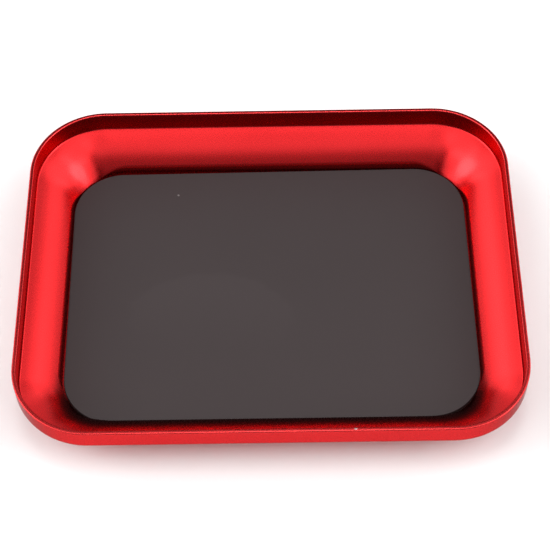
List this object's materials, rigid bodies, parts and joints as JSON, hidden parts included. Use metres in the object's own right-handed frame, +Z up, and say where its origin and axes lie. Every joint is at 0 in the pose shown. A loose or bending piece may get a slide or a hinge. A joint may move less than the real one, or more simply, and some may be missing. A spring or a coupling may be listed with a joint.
{
  "type": "magnetic parts tray",
  "caption": "Shallow rectangular parts tray with round corners, drawn from red anodised aluminium sheet, with a flexible magnet sheet in its recess to hold steel screws.",
  "frame": {"origin": "on the bench, under the middle of the tray", "axes": "+X along the tray's length, +Y along its width away from the viewer, +Z up out of its open side"},
  "size_m": [0.118, 0.092, 0.0147],
  "materials": {
    "anodised_aluminium": "fine bead-blasted, red anodised, satin",
    "adhesive": "pale double-sided film, seen only at its cut edge",
    "magnet_rubber": "bare ferrite-filled rubber sheet, dark grey-brown, matt"
  },
  "bodies": {
    "root": {"tray_shell": "anodised_aluminium", "adhesive_film": "adhesive", "magnet_sheet": "magnet_rubber"}
  },
  "joints": []
}
